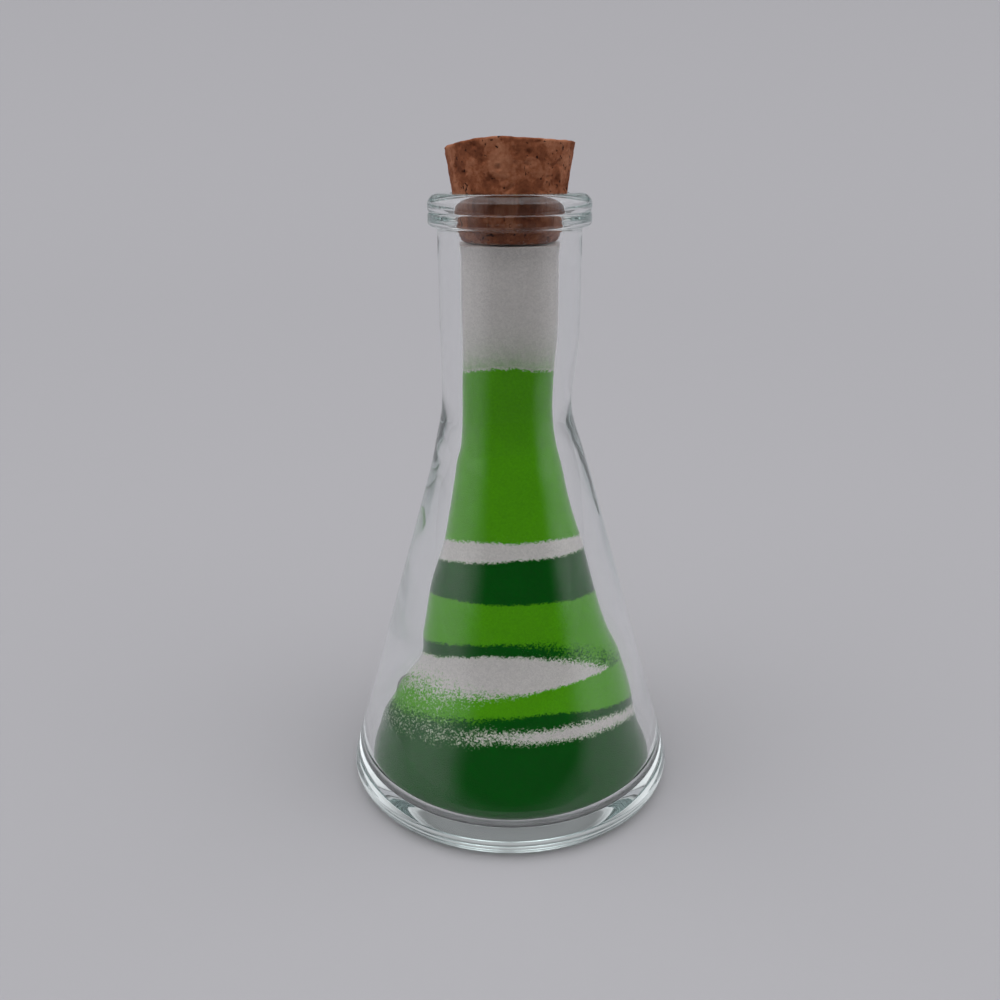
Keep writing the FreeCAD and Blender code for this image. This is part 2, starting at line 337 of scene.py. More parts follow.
@dataclass(frozen=True)
class CorkFinish:
    """Pressed cork granules, matt brown, with dark pits and a dusty lower end.

    A cloud is a noise's size, detail and distortion. Granules, patches and the fine
    cloud each have a weight in the cork's tone, and the holes have theirs in the pits.
    The stretches say where the lighter colours and the pits come in.
    """

    granule: float = 2.6
    granule_softness: float = 0.35
    granule_weight: float = 0.34
    bend: float = 1.6
    bend_detail: float = 3.0
    bend_reach: float = 2.2
    patch: Cloud = (3.2, 3.0, 0.6)
    patch_weight: float = 0.9
    fine: Cloud = (0.45, 3.0, 0.0)
    fine_weight: float = 0.42
    cloud_roughness: float = 0.6
    middle_stretch: Stretch = (0.45, 0.86)
    pale_stretch: Stretch = (0.8, 1.18)
    hole: Cloud = (1.35, 1.5, 1.2)
    hole_weight: float = 0.75
    pit_stretch: Stretch = (0.335, 0.4)
    pale: Colour = (0.50, 0.215, 0.118)
    middle: Colour = (0.30, 0.096, 0.042)
    dark: Colour = (0.115, 0.03, 0.012)
    pit: Colour = (0.03, 0.008, 0.004)
    dust: Colour = (0.56, 0.50, 0.46)
    dust_reach: float = 1.6
    dust_levels: Stretch = (0.16, -0.5)
    dust_speck: Cloud = (0.6, 3.0, 0.0)
    dust_edge: float = 0.2
    dust_most: float = 0.6
    roughness: float = 0.9
    specular: float = 0.2
    relief: float = 0.6
    relief_depth: float = 0.25

    def material(self, low_end: float) -> bpy.types.Material:
        """Make the cork.

        Args:
            low_end: height of the cork's lower end.

        Returns:
            The material.
        """
        material, wires, shader = new_material("pressed_cork")
        place = wires.place()

        def cloud(size: float, detail: float, distortion: float) -> Socket:
            """A soft noise at the cork's places.

            Args:
                size: how wide a cloud is.
                detail: how many finer clouds lie in it.
                distortion: how far its borders are bent.

            Returns:
                The noise's socket.
            """
            node = wires.add("ShaderNodeTexNoise")
            for socket, value in (("Vector", place), ("Scale", 1 / (size * MM)), ("Detail", detail),
                                  ("Roughness", self.cloud_roughness), ("Distortion", distortion)):
                wires.feed(node, socket, value)
            return node.outputs["Fac"]

        chance, fine = self.granules(wires, place), cloud(*self.fine)
        mixed = wires.weigh((cloud(*self.patch), self.patch_weight), (fine, self.fine_weight),
                            (chance, self.granule_weight))
        lighter = wires.ramp(mixed, *self.middle_stretch, 0.0, 1.0, "LINEAR")
        colour = wires.blend(lighter, self.dark, self.middle)
        lightest = wires.ramp(mixed, *self.pale_stretch, 0.0, 1.0, "LINEAR")
        colour = wires.blend(lightest, colour, self.pale)
        holes = wires.weigh((cloud(*self.hole), self.hole_weight), (fine, 1 - self.hole_weight))
        pits = wires.ramp(holes, *self.pit_stretch, 1.0, 0.0)
        colour = wires.blend(pits, colour, self.pit)
        height = wires.add("ShaderNodeSeparateXYZ")
        wires.feed(height, 0, place)
        low = wires.ramp(height.outputs[2], low_end * MM, (low_end + self.dust_reach) * MM,
                         *self.dust_levels, "LINEAR")
        speckled = wires.math("ADD", low, wires.math("SUBTRACT", cloud(*self.dust_speck), 0.5))
        dusty = wires.ramp(speckled, 0.0, self.dust_edge, 0.0, self.dust_most)
        wires.feed(shader, "Base Color", wires.blend(dusty, colour, self.dust))
        wires.feed(shader, "Roughness", self.roughness)
        wires.feed(shader, "Specular IOR Level", self.specular)
        bump = wires.add("ShaderNodeBump")
        wires.feed(bump, "Strength", self.relief)
        wires.feed(bump, "Distance", self.relief_depth * MM)
        wires.feed(bump, "Height", wires.math("SUBTRACT", mixed, pits))
        wires.feed(shader, "Normal", bump.outputs[0])
        return material

    def granules(self, wires: Wiring, place: Socket) -> Socket:
        """Give each granule a number of its own, within bent borders.

        Args:
            wires: the material's wiring.
            place: the object coordinates.

        Returns:
            The number's socket.
        """
        bend = wires.add("ShaderNodeTexNoise")
        wires.feed(bend, "Vector", place)
        wires.feed(bend, "Scale", 1 / (self.bend * MM))
        wires.feed(bend, "Detail", self.bend_detail)
        shift = wires.add("ShaderNodeVectorMath", operation="MULTIPLY_ADD")
        wires.feed(shift, 0, bend.outputs["Color"])
        wires.feed(shift, 1, 3 * (self.bend_reach * MM,))
        wires.feed(shift, 2, place)
        cells = wires.add("ShaderNodeTexVoronoi", feature="SMOOTH_F1")
        wires.feed(cells, "Vector", shift.outputs[0])
        wires.feed(cells, "Scale", 1 / (self.granule * MM))
        wires.feed(cells, "Smoothness", self.granule_softness)
        chance = wires.add("ShaderNodeSeparateColor")
        wires.feed(chance, 0, cells.outputs["Color"])
        return chance.outputs[0]


@dataclass(frozen=True)
class PaperFinish:
    """The plain pale paper that the bottle stands on, with a painted shade before the tent's opening.

    The painted shade starts and is full at distances to the front, in metres.
    """

    colour: Colour = (0.465, 0.458, 0.475)
    # shaded is the colour of the painted shade, not a colour of the paper.
    shaded: Colour = (0.04, 0.039, 0.041)
    shade_start: float = 0.068
    shade_full: float = 0.15
    roughness: float = 0.9
    specular: float = 0.1

    def material(self, left: Stretch, right: Stretch) -> bpy.types.Material:
        """Make the paper.

        Args:
            left: azimuths between which the opening's left edge lies, in degrees.
            right: azimuths between which its right edge lies.

        Returns:
            The material.
        """
        material, wires, shader = new_material("pale_paper")
        place = wires.add("ShaderNodeSeparateXYZ")
        wires.feed(place, 0, wires.place())
        # Painted shade: inside the wedge of the tent's opening and ahead of the bottle, the paper's colour
        # is darkened towards shaded to stand for shade.
        ahead = wires.math("MULTIPLY", place.outputs[1], -1.0)
        turn = wires.math("DEGREES", wires.math("ARCTAN2", place.outputs[0], ahead))
        shade = wires.math("MULTIPLY", wires.ramp(turn, *left, 0.0, 1.0),
                           wires.ramp(turn, *right, 1.0, 0.0))
        shade = wires.math("MULTIPLY", shade,
                           wires.ramp(ahead, self.shade_start, self.shade_full, 0.0, 1.0))
        wires.feed(shader, "Base Color", wires.blend(shade, self.colour, self.shaded))
        wires.feed(shader, "Roughness", self.roughness)
        wires.feed(shader, "Specular IOR Level", self.specular)
        return material


# Meshes


def arc(centre: OutlinePoint, radius: float, start: float, end: float, steps: int) -> list[OutlinePoint]:
    """Points of a round stretch of an outline.

    Args:
        centre: its (radius, height) centre.
        radius: its own radius.
        start: first angle in degrees, from level outwards.
        end: last angle in degrees.
        steps: how many spans.

    Returns:
        steps + 1 points.
    """
    angles = [math.radians(start + (end - start) * step / steps) for step in range(steps + 1)]
    return [(centre[0] + radius * math.cos(a), centre[1] + radius * math.sin(a)) for a in angles]


def dome(radius: float, edge: float, rise: float, steps: int) -> list[OutlinePoint]:
    """Points of a shallow dome from the axis out to its edge.

    Args:
        radius: the edge's radius.
        edge: the edge's height.
        rise: how far the middle stands above the edge.
        steps: how many spans.

    Returns:
        steps + 1 points.
    """
    shares = [step / steps for step in range(steps + 1)]
    return [(radius * share, edge + rise * (1 - share * share)) for share in shares]


def hollow(radius: float, rise: float, steps: int) -> list[OutlinePoint]:
    """Points of a hollow foot, level both in its middle and at its edge.

    Args:
        radius: the edge's radius, at height 0.
        rise: the middle's height.
        steps: how many spans.

    Returns:
        steps + 1 points.
    """
    shares = [step / steps for step in range(steps + 1)]
    return [(radius * share, rise * (1 + math.cos(math.pi * share)) / 2) for share in shares]


def span(start: OutlinePoint, end: OutlinePoint, steps: int) -> list[OutlinePoint]:
    """Points of a straight stretch of an outline, both ends among them."""
    return [(start[0] + (end[0] - start[0]) * step / steps,
             start[1] + (end[1] - start[1]) * step / steps) for step in range(steps + 1)]


def smooth_through(stations: list[OutlinePoint], start: float, end: float) -> Callable[[float], float]:
    """A smooth radius for every height, through (height, radius) stations.

    Args:
        stations: heights and radii, rising.
        start: slope at the first station.
        end: slope at the last station.

    Returns:
        A function from height to radius.
    """
    slopes = [start]
    for (h0, r0), (h2, r2) in zip(stations, stations[2:]):
        slopes.append((r2 - r0) / (h2 - h0))
    slopes.append(end)

    def radius(height: float) -> float:
        """Radius at a height, held level past the last station.

        Args:
            height: the height.

        Returns:
            The radius there.
        """
        if height >= stations[-1][0]:
            return stations[-1][1]
        i = next(i for i in range(len(stations) - 1) if height <= stations[i + 1][0])
        (h0, r0), (h1, r1) = stations[i], stations[i + 1]
        gap = h1 - h0
        t = (height - h0) / gap
        return (r0 * (1 + 2 * t) * (1 - t) ** 2 + gap * slopes[i] * t * (1 - t) ** 2
                + r1 * t * t * (3 - 2 * t) + gap * slopes[i + 1] * t * t * (t - 1))

    return radius


def turns(segments: int) -> list[float]:
    """Angles of the points of one ring, in radians."""
    return [2 * math.pi * step / segments for step in range(segments)]


def mesh_object(name: str, verts: list[Point], faces: list[tuple]) -> bpy.types.Object:
    """Make a smooth-shaded object at the origin from millimetre points.

    Args:
        name: the piece's name.
        verts: points in millimetres.
        faces: tuples of point numbers.

    Returns:
        The object, linked to the scene.
    """
    mesh = bpy.data.meshes.new(name)
    mesh.from_pydata([(x * MM, y * MM, z * MM) for x, y, z in verts], [], faces)
    mesh.validate()
    mesh.shade_smooth()
    piece = bpy.data.objects.new(name, mesh)
    bpy.context.scene.collection.objects.link(piece)
    return piece


def closed_stack(name: str, verts: list[Point], segments: int) -> bpy.types.Object:
    """Make one closed piece from a stack of rings, which a point closes at each end.

    Args:
        name: the piece's name.
        verts: the points of every ring in turn, then the first and the last middle point.
        segments: how many points a ring has.

    Returns:
        The object, linked to the scene.
    """
    last = (len(verts) - 2) // segments - 1
    faces = []
    for ring in range(last):
        low, high = ring * segments, (ring + 1) * segments
        for step in range(segments):
            after = (step + 1) % segments
            faces.append((low + step, low + after, high + after, high + step))
    for middle, ring in ((len(verts) - 2, 0), (len(verts) - 1, last)):
        for step in range(segments):
            here, after = ring * segments + step, ring * segments + (step + 1) % segments
            faces.append((middle, after, here) if ring == 0 else (middle, here, after))
    return mesh_object(name, verts, faces)


# Bottle


@dataclass
class Flask:
    """The glass: a rounded heel, a straight cone, an uneven waist, a neck and a rim.

    A row of cone_walls says how far up the cone it stands, from the floor's corner
    to the shoulder, how thick the wall is there and how far the cavity drifts to the
    right. A row of neck_walls has the last two, for one of the neck's stations.
    """

    base_radius: float = 30.7
    heel_radius: float = 3.4
    shoulder_height: float = 62.8
    shoulder_radius: float = 14.0
    pinch_rise: float = 3.8
    pinch_radius: float = 13.0
    waist_rise: float = 10.2
    waist_radius: float = 11.5
    neck_rise: float = 25.6
    neck_radius: float = 12.1
    neck_length: float = 15.3
    neck_stop: float = 0.5
    waist_shift: float = 0.55
    waist_shift_reach: float = 13.0
    foot_ring_width: float = 1.4
    punt_depth: float = 0.15
    rim_radius: float = 13.67
    rim_height: float = 5.3
    rim_fillet: tuple[OutlinePoint, ...] = ((0.12, -0.2), (0.45, 0.0))
    rim_groove_rise: float = 2.3
    rim_groove: float = 0.25
    rim_under_round: float = 1.1
    rim_top_round: float = 1.9
    bead_fullness: float = 1.6
    lip_round: float = 0.9
    cone_walls: tuple[Point, ...] = (
        (0.0, 3.95, 0.15), (0.135, 4.32, 0.28), (0.24, 4.8, 0.7), (0.365, 5.45, 1.0),
        (0.47, 5.45, 0.55), (0.6, 5.3, 0.3), (0.74, 5.3, 0.35), (0.85, 5.1, 0.1))
    neck_walls: tuple[OutlinePoint, ...] = (
        (4.5, -0.1), (4.3, 0.0), (3.5, 0.1), (3.75, 0.0), (3.75, 0.0))
    floor_height: float = 2.4
    floor_dome: float = 0.8
    floor_corner: float = 4.0
    seat_taper: float = 0.12
    seat_depth: float = 7.0
    seat_radius: float = 8.73
    seat_runout: float = 1.0
    seat_blend: float = 2.5
    cork_depth: float = 7.8
    segments: int = 160
    punt_steps: int = 20
    foot_steps: int = 4
    heel_steps: int = 22
    cone_steps: int = 30
    waist_steps: int = 48
    neck_steps: int = 8
    bead_steps: int = 12
    groove_steps: int = 6
    lip_steps: int = 8
    seat_steps: int = 12
    blend_steps: int = 4
    bore_steps: int = 8
    cavity_steps: int = 100
    corner_steps: int = 14
    floor_steps: int = 12
    finish: GlassFinish = field(default_factory=GlassFinish)

    def __post_init__(self) -> None:
        """Work out where the cone meets the heel, and the wall's two curves."""
        self.foot_radius = self.base_radius - self.heel_radius
        across = self.shoulder_radius - self.foot_radius
        up = self.shoulder_height - self.heel_radius
        self.lean = math.atan2(up, across) - math.acos(self.heel_radius / math.hypot(across, up))
        self.heel_top = self.heel_radius * (1 + math.sin(self.lean))
        self.heel_top_radius = self.foot_radius + self.heel_radius * math.cos(self.lean)
        self.waist_height = self.shoulder_height + self.waist_rise
        self.neck_height = self.shoulder_height + self.neck_rise
        self.rim_base = self.neck_height + self.neck_length
        self.top = self.rim_base + self.rim_height
        self.seat_low = self.top - self.seat_depth - self.seat_runout
        self.cone_end = self.waist_height - self.waist_shift_reach
        self.cavity_low = self.floor_height + self.floor_corner
        slope, neck = -math.tan(self.lean), self.neck_stations()
        outer = [(self.cone_end, self.cone_radius(self.cone_end))] + neck
        self.outer = smooth_through(outer, slope, 0.0)
        walls, drifts = [], []
        for share, wall, drift in self.cone_walls:
            height = self.cavity_low + share * (self.shoulder_height - self.cavity_low)
            walls.append((height, self.cone_radius(height) - wall))
            drifts.append((height, drift))
        for (height, radius), (wall, drift) in zip(neck, self.neck_walls):
            walls.append((height, radius - wall))
            drifts.append((height, drift))
        self.inner = smooth_through(walls, slope, 0.0)
        self.drift = smooth_through(drifts, 0.0, 0.0)

    def neck_stations(self) -> list[OutlinePoint]:
        """Places that the glass passes through from the shoulder up.

        Returns:
            Heights and outer radii, the last where the straight neck starts.
        """
        halfway = ((self.waist_height + self.neck_height) / 2, (self.waist_radius + self.neck_radius) / 2)
        return [(self.shoulder_height, self.shoulder_radius),
                (self.shoulder_height + self.pinch_rise, self.pinch_radius),
                (self.waist_height, self.waist_radius),
                halfway,
                (self.neck_height, self.neck_radius)]

    def cone_radius(self, height: float) -> float:
        """Outer radius of the straight cone at a height."""
        return self.heel_top_radius - (height - self.heel_top) * math.tan(self.lean)

    def sway(self, height: float) -> float:
        """How far the wall's centre lies to the right at a height."""
        reach = (height - self.waist_height) / self.waist_shift_reach
        return 0.0 if abs(reach) >= 1 else -self.waist_shift * math.cos(reach * math.pi / 2) ** 2

    def cavity_sway(self, height: float) -> float:
        """How far the cavity's centre lies to the right at a height."""
        return self.sway(height) + self.drift(max(height, self.cavity_low))

    def outside(self) -> list[OutlinePoint]:
        """Outline of the outer face.

        Returns:
            Points from the middle of the hollow foot, up outside, to the lip.
        """
        ring = self.foot_radius - self.foot_ring_width
        points = hollow(ring, self.punt_depth, self.punt_steps)
        points += span((ring, 0.0), (self.foot_radius, 0.0), self.foot_steps)[1:]
        points += arc((self.foot_radius, self.heel_radius), self.heel_radius, -90,
                      math.degrees(self.lean), self.heel_steps)[1:]
        cone_top = (self.cone_radius(self.cone_end), self.cone_end)
        points += span(points[-1], cone_top, self.cone_steps)[1:]
        waist = span((0, self.cone_end), (0, self.neck_height), self.waist_steps)[1:]
        points += [(self.outer(height), height) for _, height in waist]
        neck_top = (self.neck_radius, self.rim_base - self.neck_stop)
        points += span(points[-1], neck_top, self.neck_steps)[1:]
        return points + self.beads()

    def beads(self) -> list[OutlinePoint]:
        """Outline of the rim's two beads.

        Returns:
            Points from under the lower bead to the lip.
        """
        groove = self.rim_base + self.rim_groove_rise
        half = self.rim_groove_rise / 2
        points = [(self.neck_radius + across, self.rim_base + up) for across, up in self.rim_fillet]
        for step in range(self.bead_steps + 1):
            angle = math.radians(-90 + 180 * step / self.bead_steps)
            most = self.rim_under_round if angle < 0 else self.rim_groove
            inward = most * (1 - math.cos(angle)) ** self.bead_fullness
            points.append((self.rim_radius - inward, self.rim_base + half + half * math.sin(angle)))
        round_start = self.top - self.rim_top_round
        for step in range(1, self.groove_steps + 1):
            share = step / self.groove_steps
            inward = self.rim_groove * (1 - math.sin(share * math.pi / 2)) ** self.bead_fullness
            points.append((self.rim_radius - inward, groove + (round_start - groove) * share))
        centre = (self.rim_radius - self.rim_top_round, round_start)
        return points + arc(centre, self.rim_top_round, 0, 90, self.bead_steps)[1:]

    def inside(self) -> list[OutlinePoint]:
        """Outline of the cavity.

        Returns:
            Points from the lip, down inside, to the middle of the floor.
        """
        lip = self.top - self.lip_round
        lip_radius = self.seat_radius + self.seat_taper * (lip - self.top + self.seat_depth)
        seat_low_radius = self.seat_radius - self.seat_taper * self.seat_runout
        bore = self.inner(self.neck_height)
        corner = (self.inner(self.cavity_low) - self.floor_corner, self.cavity_low)
        points = arc((lip_radius + self.lip_round, lip), self.lip_round, 90, 180, self.lip_steps)
        points += span(points[-1], (seat_low_radius, self.seat_low), self.seat_steps)[1:]
        points += span(points[-1], (bore, self.seat_low - self.seat_blend), self.blend_steps)[1:]
        points += span(points[-1], (bore, self.neck_height), self.bore_steps)[1:]
        cavity = span((0, self.neck_height), (0, self.cavity_low), self.cavity_steps)[1:]
        points += [(self.inner(height), height) for _, height in cavity]
        points += arc(corner, self.floor_corner, 0, -90, self.corner_steps)[1:]
        floor = dome(corner[0], self.floor_height, self.floor_dome, self.floor_steps)
        return points + list(reversed(floor))[1:]

    def build(self) -> bpy.types.Object:
        """Turn the outline into one closed glass shell and dress it.

        Returns:
            The glass.
        """
        outside = self.outside()
        outline = outside + self.inside()
        verts = []
        for number, (radius, height) in enumerate(outline[1:-1], start=1):
            sway = self.sway(height) if number < len(outside) else self.cavity_sway(height)
            verts += [(radius * math.cos(turn) + sway, radius * math.sin(turn), height)
                      for turn in turns(self.segments)]
        verts += [(0.0, 0.0, height) for _, height in (outline[0], outline[-1])]
        glass = closed_stack("glass_shell", verts, self.segments)
        glass.data.materials.append(self.finish.material())
        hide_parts("glass_flask")
        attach(glass, Part.BOTTLE.value)
        log.info("glass_shell: %d faces", len(glass.data.polygons))
        return glass


@dataclass(frozen=True)
class Border:
    """The upper border of one layer, as heights at the glass, and how it is mixed.

    The four heights stand at the front, right, back and left, and the twist lifts
    the front left. The spreads say how deep the two dyes are mixed at the right and
    at the left, and the dust how far up a haze of fine dye reaches. A wave is its
    height and how often it turns across and from front to back. Places are given in
    shares of the sand's radius.
    """

    layer: str
    tone: Tone
    front: float
    right: float
    back: float
    left: float
    twist: float
    spread_right: float = 0.12
    spread_left: float = 0.12
    dust: float = 0.0
    waves: tuple[Point, ...] = ((0.11, 6.0, 4.0), (0.06, -15.0, 13.0), (0.02, 29.0, 25.0))
    spread_slope: float = 0.75
    spread_power: int = 3
    deepest: float = 30.0

    def height(self, x: float, y: float) -> float:
        """Height of the border.

        Args:
            x: place to the right.
            y: place to the back.

        Returns:
            The height at that place.
        """
        level = (self.front + self.right + self.back + self.left) / 4
        saddle = (self.right + self.left - self.front - self.back) / 4
        wave = sum(rise * math.sin(across * x + deep * y + phase)
                   for (rise, across, deep), phase in zip(self.waves, (self.front, self.left, 0.0)))
        return (level + (self.right - self.left) / 2 * x + (self.back - self.front) / 2 * y
                + saddle * (x * x - y * y) + 2 * self.twist * x * y + wave)

    def spread(self, x: float) -> float:
        """How deep stray grains lie.

        Args:
            x: place from the left, -1, to the right, 1.

        Returns:
            The depth over which the dyes change places.
        """
        share = min(1.0, max(0.0, 0.5 - self.spread_slope * x))
        wide = share if self.spread_left > self.spread_right else 1 - share
        low, high = sorted((self.spread_left, self.spread_right))
        return low + (high - low) * wide ** self.spread_power

    def passed(self, x: float, y: float, z: float) -> float:
        """Share of the grains at a place that lie above this border."""
        depth = (z - self.height(x, y)) / self.spread(x)
        return 1 / (1 + math.exp(-max(-self.deepest, min(self.deepest, depth))))

    def haze(self, x: float, y: float, z: float) -> float:
        """Share of fine dye from below that clouds the grains at a place."""
        above = z - self.height(x, y)
        return math.exp(-above / self.dust) if self.dust > 0 and above > 0 else 0.0


@dataclass
class SandColumn:
    """The eleven batches of sand, each a closed piece of its own.

    The gaps part the sand from the glass and from the cork. No batch is thinner
    than the least thickness, and the stray share of the mixing is cut off at both
    ends, so that far from a border all grains have one dye. Places are given in
    shares of the sand's radius.
    """

    flask: Flask
    gap: float = 0.07
    cork_gap: float = 0.3
    row_step: float = 0.6
    fewest_rows: int = 3
    segments: int = 128
    cap_rings: int = 6
    thinnest: float = 0.02
    stray: float = 0.04
    borders: tuple[Border, ...] = (
        Border("sand_base_dark_green", Tone.DARK_GREEN, 18.4, 15.4, 14.2, 13.6, 0.3, 0.45, 1.3),
        Border("sand_line_white", Tone.WHITE, 20.1, 16.5, 16.4, 15.4, -0.4, 0.45, 1.3),
        Border("sand_thin_dark_green", Tone.DARK_GREEN, 22.6, 17.7, 19.4, 18.2, -0.7, 0.2, 1.0),
        Border("sand_lime_lower", Tone.LIME, 26.2, 25.6, 25.8, 24.4, -0.9, 0.15, 2.8),
        Border("sand_lens_white", Tone.WHITE, 32.6, 21.5, 27.5, 29.0, -1.8, 0.9, 0.14),
        Border("sand_seam_dark_green", Tone.DARK_GREEN, 34.7, 23.5, 29.4, 31.6, -1.9, 1.6, 0.25),
        Border("sand_lime_middle", Tone.LIME, 41.3, 40.0, 39.6, 39.5, 0.2),
        Border("sand_band_dark_green", Tone.DARK_GREEN, 48.6, 47.9, 46.6, 45.5, 0.2),
        Border("sand_band_white", Tone.WHITE, 51.6, 50.5, 49.6, 49.2, 0.2),
        Border("sand_lime_tall", Tone.LIME, 81.5, 79.5, 79.4, 79.5, 0.0, 0.2, 0.2, 2.2),
    )
    top_name: str = "sand_neck_white"
    top_tone: Tone = Tone.WHITE

    def radius(self, height: float) -> float:
        """Radius of the sand, over the floor's corner and at the cork's seat too.

        Args:
            height: the height of the place.

        Returns:
            The radius there.
        """
        flask = self.flask
        if height >= flask.cavity_low:
            flare = max(0.0, height - flask.seat_low + flask.seat_blend) * flask.seat_taper
            return flask.inner(height) - self.gap + flare
        corner = flask.floor_corner
        drop = min(corner, flask.cavity_low - height)
        return flask.inner(flask.cavity_low) - corner + math.sqrt(corner ** 2 - drop ** 2) - self.gap

    def levels(self, x: float, y: float) -> list[float]:
        """Heights of the floor, every border and the top.

        Args:
            x: place to the right.
            y: place to the back.

        Returns:
            The heights at that place, rising.
        """
        flask = self.flask
        levels = [flask.floor_height + self.gap + flask.floor_dome * (1 - x * x - y * y)]
        for border in self.borders:
            levels.append(max(levels[-1] + self.thinnest, border.height(x, y)))
        levels.append(flask.top - flask.cork_depth - self.cork_gap)
        return levels

    def cap_ring(self, number: int, share: float, side: int) -> list[Point]:
        """One ring of places on the lower or the upper face of a layer.

        Args:
            number: which layer, counted up from 0.
            share: how far out the ring lies, where 1 is at the glass.
            side: 0 for the lower face, 1 for the upper one.

        Returns:
            The places, each with its height.
        """
        ring = [(share * math.cos(turn), share * math.sin(turn)) for turn in turns(self.segments)]
        return [(x, y, self.levels(x, y)[number + side]) for x, y in ring]

    def layer_mesh(self, number: int, name: str) -> bpy.types.Object:
        """Make one layer between its two borders, closed, with its mixing attributes.

        Args:
            number: which layer, counted up from 0.
            name: the piece's name.

        Returns:
            The layer.
        """
        ring = [(math.cos(turn), math.sin(turn)) for turn in turns(self.segments)]
        walls = [self.levels(x, y)[number:number + 2] for x, y in ring]
        deepest = max(high - low for low, high in walls)
        rows = max(self.fewest_rows, math.ceil(deepest / self.row_step))
        places = []
        for inner in range(1, self.cap_rings):
            places += self.cap_ring(number, inner / self.cap_rings, 0)
        for row in range(rows + 1):
            places += [(x, y, low + (high - low) * row / rows) for (x, y), (low, high) in zip(ring, walls)]
        for inner in range(self.cap_rings - 1, 0, -1):
            places += self.cap_ring(number, inner / self.cap_rings, 1)
        places += [(0.0, 0.0, level) for level in self.levels(0.0, 0.0)[number:number + 2]]
        verts = []
        for x, y, height in places:
            radius = self.radius(height)
            verts.append((radius * x + self.flask.cavity_sway(height), radius * y, height))
        piece = closed_stack(name, verts, self.segments)
        self.crease(piece.data, (self.cap_rings - 1, self.cap_rings - 1 + rows))
        mixes = zip(*(self.mix(*place) for place in places))
        for title, values in zip(("dark_share", "lime_share", "lime_haze"), mixes):
            piece.data.attributes.new(title, "FLOAT", "POINT").data.foreach_set("value", values)
        return piece

    def crease(self, mesh: bpy.types.Mesh, rings: tuple[int, int]) -> None:
        """Keep the shading apart where a layer's wall meets its two caps.

        Args:
            mesh: the layer's mesh.
            rings: the numbers of the two rings of points on those edges.
        """
        sharp = mesh.attributes.new("sharp_edge", "BOOLEAN", "EDGE")
        for edge in mesh.edges:
            start, end = (number // self.segments for number in edge.vertices)
            sharp.data[edge.index].value = start == end and start in rings

    def tones(self) -> list[Tone]:
        """The dye of every layer, from the lowest up."""
        return [border.tone for border in self.borders] + [self.top_tone]

    def mix(self, x: float, y: float, height: float) -> tuple[float, float, float]:
        """How the sand is mixed at a place.

        Args:
            x: place to the right.
            y: place to the back.
            height: its height.

        Returns:
            The shares of dark green and of lime grains, and the share of lime haze.
        """
        passed = [1.0]
        for border in self.borders:
            above = (border.passed(x, y, height) - self.stray) / (1 - 2 * self.stray)
            passed.append(min(passed[-1], min(1.0, max(0.0, above))))
        passed.append(0.0)
        found = {tone: 0.0 for tone in Tone}
        for tone, below, above in zip(self.tones(), passed, passed[1:]):
            found[tone] += below - above
        haze = max(border.haze(x, y, height) for border in self.borders)
        return found[Tone.DARK_GREEN], found[Tone.LIME], haze

    def build(self) -> list[bpy.types.Object]:
        """Make and dress every layer.

        Returns:
            The layers, from the lowest up.
        """
        names = [border.layer for border in self.borders] + [self.top_name]
        pieces = []
        sand = SandFinish().material("layered_sand")
        for number, (name, tone) in enumerate(zip(names, self.tones())):
            piece = self.layer_mesh(number, "grains_" + name)
            piece.data.materials.append(sand)
            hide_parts(name)
            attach(piece, Part.BOTTLE.value)
            log.info("%s: %d faces", piece.name, len(piece.data.polygons))
            pieces.append(piece)
        return pieces


